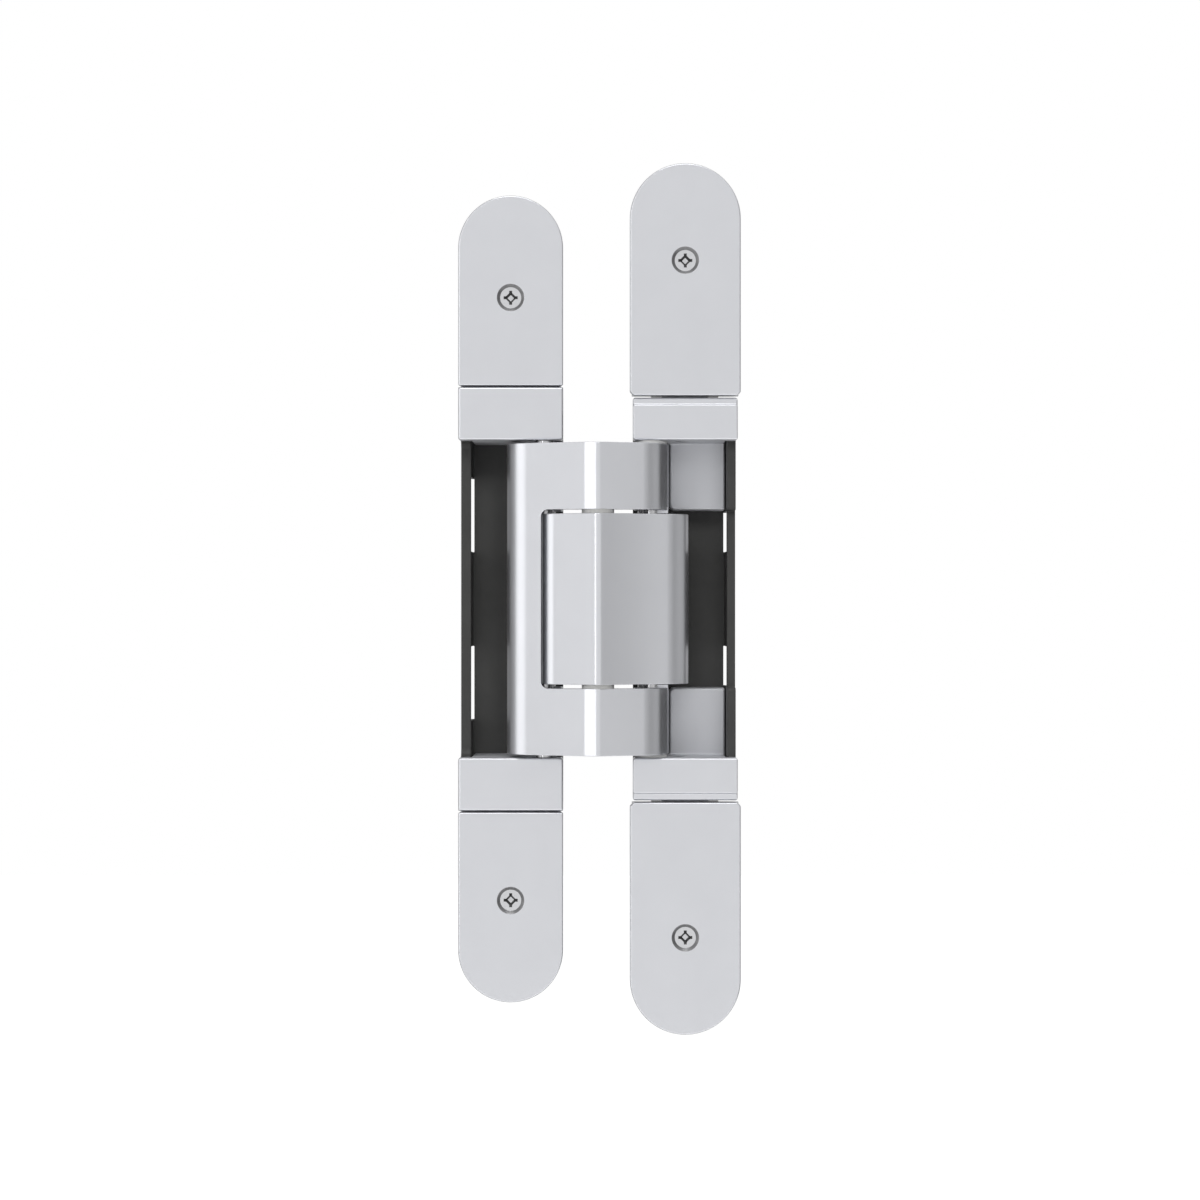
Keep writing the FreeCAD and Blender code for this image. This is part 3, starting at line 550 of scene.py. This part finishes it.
def cross_head_screw(name):
    """Turned blank that grows from its rim to its tip, then the recess is cut in its head."""
    bpy.ops.object.select_all(action="DESELECT")
    bpy.ops.mesh.primitive_cylinder_add(vertices=64, radius=head_radius, depth=head_rim,
                                        location=(0.0, head_front + head_rim / 2, 0.0), rotation=along_y)
    screw = bpy.context.object
    screw.name = name
    bpy.ops.object.transform_apply(location=True, rotation=True, scale=True)
    bpy.ops.object.mode_set(mode="EDIT")
    back = head_front + head_rim
    pick_faces(screw, lambda middle: middle.y > back - tiny and middle.xz.length < tiny)
    cone = head_radius - thread_root - head_rim
    grow(cone, thread_root / head_radius, (0.0, back + cone, 0.0))
    place, radius = back + cone, thread_root
    while place + thread_pitch < screw_end - thread_pitch:
        for step, target in thread_turn:
            place += step * thread_pitch
            grow(step * thread_pitch, target / radius, (0.0, place, 0.0))
            radius = target
    grow(screw_end - place, tip_share, (0.0, screw_end, 0.0))
    bpy.ops.object.mode_set(mode="OBJECT")

    bpy.ops.object.select_all(action="DESELECT")
    bpy.ops.mesh.primitive_cone_add(vertices=4, radius1=diamond_floor_reach, radius2=diamond_reach,
                                    depth=recess_depth, rotation=along_y,
                                    location=(0.0, head_front + recess_depth / 2 - recess_lift, 0.0))
    diamond = bpy.context.object
    bpy.ops.object.transform_apply(location=True, rotation=True, scale=True)
    take_out(screw, diamond)
    for turned in (False, True):
        wide, tall = (wing_width, 2 * wing_reach) if turned else (2 * wing_reach, wing_width)
        bpy.ops.object.select_all(action="DESELECT")
        bpy.ops.mesh.primitive_cube_add(size=1.0, location=(0.0, head_front + recess_depth / 3, 0.0))
        wing = bpy.context.object
        bpy.ops.transform.resize(value=(wide, recess_depth, tall))
        bpy.ops.object.transform_apply(location=True, rotation=True, scale=True)
        bpy.ops.object.mode_set(mode="EDIT")
        floor_y = head_front + recess_depth / 3 + recess_depth / 2
        pick_faces(wing, lambda middle: middle.y > floor_y - tiny)
        bpy.ops.transform.resize(value=(wing_floor_share, 1.0, wing_floor_share),
                                 center_override=(0.0, floor_y, 0.0))
        bpy.ops.object.mode_set(mode="OBJECT")
        take_out(screw, wing)
    for x in (-mark_place, mark_place):
        for z in (-mark_place, mark_place):
            bpy.ops.object.select_all(action="DESELECT")
            bpy.ops.mesh.primitive_cube_add(size=mark_size, location=(x, head_front, z))
            mark = bpy.context.object
            bpy.ops.transform.resize(value=(1.0, 2 * mark_depth / mark_size, 1.0))
            bpy.ops.object.transform_apply(location=True, rotation=True, scale=True)
            take_out(screw, mark)
    only(screw)
    bpy.ops.object.shade_smooth_by_angle(angle=radians(25.0))
    for finish in (zinc_steel, painted_shade_recess):
        screw.data.materials.append(finish)
    # Painted shade: the recess's walls and the wing floors take the dark finish, only its middle floor keeps
    # the zinc.
    for face in screw.data.polygons:
        sunk = head_front + mark_depth + recess_lift < face.center.y < head_front + 2 * recess_depth
        if sunk and face.center.xz.length < wing_reach + 0.0001:
            wall = abs(face.normal.y) < 0.9
            face.material_index = 1 if wall or face.center.xz.length > diamond_floor_reach else 0
    return screw


zinc_steel = metal_finish("zinc_steel", (0.58, 0.585, 0.60, 1.0), (0.64, 0.645, 0.66, 1.0), 0.9,
                          0.25, 0.35, 3500.0, 0.04)
# Painted shade for the inside of the cross recess.
painted_shade_recess = metal_finish("painted_shade_recess", (0.10, 0.10, 0.10, 1.0), (0.13, 0.13, 0.13, 1.0), 0.6,
                           0.40, 0.50, 3500.0, 0.04)
first_screw = cross_head_screw("cover_screw")
for leaf, (x, z) in cover_screws.items():
    pair = []
    for end in (-1.0, 1.0):
        screw = first_screw.copy()
        screw.data = first_screw.data.copy()
        bpy.context.scene.collection.objects.link(screw)
        screw.location = (x, 0.0, end * z)
        pair.append(screw)
    only(*pair)
    bpy.ops.object.transform_apply(location=True, rotation=True, scale=True)
    bpy.ops.object.join()
    joined = bpy.context.object
    joined.name = f"{leaf}_cover_screw_pair"
    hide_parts(f"{leaf}_cover_screws")
    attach(joined, f"{leaf}_leaf")
bpy.data.objects.remove(first_screw, do_unlink=True)


# Screws at the back and in the adjusters: zinc plated steel with round sockets or slots.
# Four hold each housing on its castings, two clamp the frame leaf's carriers, two set height.
screw_edge = 0.0001
for node_name, body in (("door_back_screws", "door_leaf"), ("frame_back_screws", "frame_leaf"),
                        ("frame_clamp_screws", "frame_leaf"), ("frame_height_screws", "frame_leaf")):
    fit(made_from(node_name, f"{node_name}_zinc", screw_edge, 2), body, "screw_steel", zinc_steel, node_name)


# Pins and small parts: ground steel pins on which the arms turn, with the tubes that space them,
# moulded plastic bushes, shoes and washers, and the bright plates the frame leaf's slides run on.
# They keep the CAD's own shapes, as they are turned, moulded or milled plain, and get a finish each.
pin_steel = metal_finish("pin_steel", (0.50, 0.50, 0.51, 1.0), (0.56, 0.56, 0.57, 1.0), 1.0,
                         0.18, 0.28, 3500.0, 0.02)
bearing_plastic = metal_finish("bearing_plastic", (0.55, 0.55, 0.54, 1.0), (0.62, 0.62, 0.61, 1.0), 0.0,
                               0.40, 0.50, 2500.0, 0.05)
plate_steel = metal_finish("plate_steel", (0.50, 0.51, 0.52, 1.0), (0.58, 0.59, 0.60, 1.0), 0.9,
                           0.30, 0.42, 2500.0, 0.05)
for node_name, finish in (("door_pivot_pin", pin_steel), ("frame_pivot_pin", pin_steel),
                          ("centre_pin", pin_steel), ("frame_guide_pin", pin_steel),
                          ("door_guide_pin", pin_steel), ("frame_pivot_spacers", pin_steel),
                          ("door_pivot_bushes", bearing_plastic), ("centre_bushes", bearing_plastic),
                          ("frame_pivot_bushes", bearing_plastic), ("frame_guide_shoes", bearing_plastic),
                          ("door_guide_shoes", bearing_plastic), ("frame_guide_washers", bearing_plastic),
                          ("frame_plate_top", plate_steel), ("frame_plate_bottom", plate_steel)):
    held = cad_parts[node_name]
    held.data.materials.clear()
    held.data.materials.append(finish)
